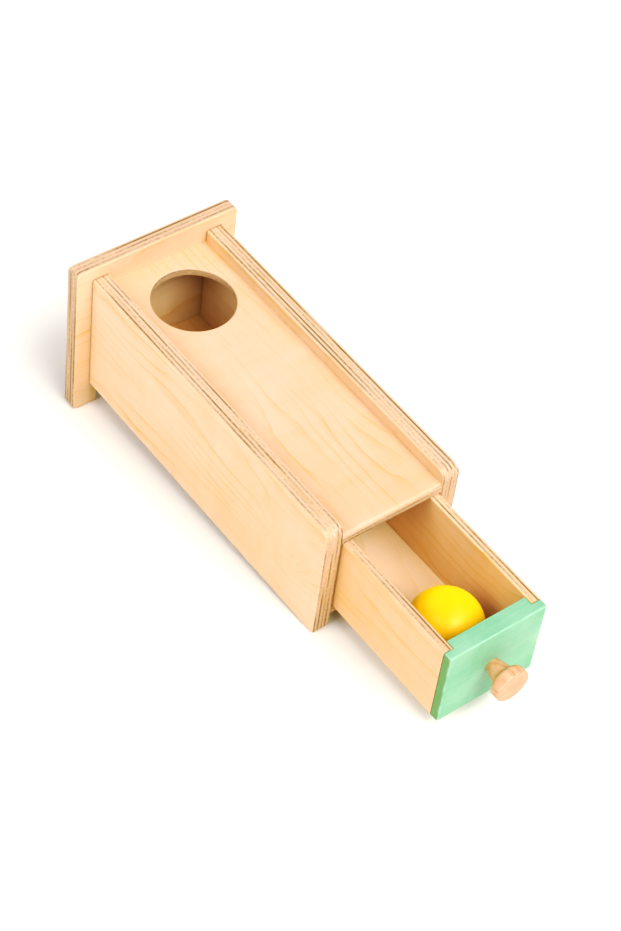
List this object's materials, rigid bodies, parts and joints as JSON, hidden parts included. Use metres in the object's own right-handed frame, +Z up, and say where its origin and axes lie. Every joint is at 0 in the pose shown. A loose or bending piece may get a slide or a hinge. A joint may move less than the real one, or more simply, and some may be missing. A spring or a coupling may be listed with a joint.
{
  "type": "object permanence box",
  "caption": "Wooden baby toy: a ball posted through the hole in the top of a plywood box drops into a long drawer, which slides out of the box's front by a turned knob to give the ball back.",
  "frame": {"origin": "on the ground, midway across the box and midway between the knob's tip and the rear of the back plate", "axes": "+X to the right of someone who faces the drawer front, +Y towards the back plate, +Z up"},
  "size_m": [0.12, 0.3696, 0.1204],
  "materials": {
    "birch_plywood": "sanded birch plywood with a clear matt oil",
    "thin_plywood": "sanded thin birch plywood with a clear matt oil",
    "mint_paint": "pale green satin paint on wood",
    "turned_wood": "turned and sanded beech with a clear satin oil",
    "yellow_paint": "yellow satin paint on a wooden ball",
    "dowel_wood": "plain beech dowel",
    "zinc_steel": "zinc-plated steel"
  },
  "bodies": {
    "housing": {"back_plate": "birch_plywood", "left_side_panel": "birch_plywood", "right_side_panel": "birch_plywood", "top_panel": "birch_plywood", "bottom_board": "birch_plywood", "plate_dowels": "dowel_wood"},
    "drawer": {"drawer_front": "mint_paint", "drawer_left_wall": "thin_plywood", "drawer_right_wall": "thin_plywood", "drawer_back_wall": "thin_plywood", "drawer_floor": "thin_plywood", "knob": "turned_wood", "knob_screw": "zinc_steel"},
    "ball": {"ball": "yellow_paint"}
  },
  "joints": [
    {"name": "drawer_slide", "type": "slide", "parent": "housing", "child": "drawer", "axis": [0, -0.9964, -0.0846], "range_m": [-0.097, 0.068]},
    {"name": "ball_roll", "type": "slide", "parent": "drawer", "child": "ball", "axis": [0, 0.9964, 0.0846], "range_m": [0, 0.1699]}
  ]
}
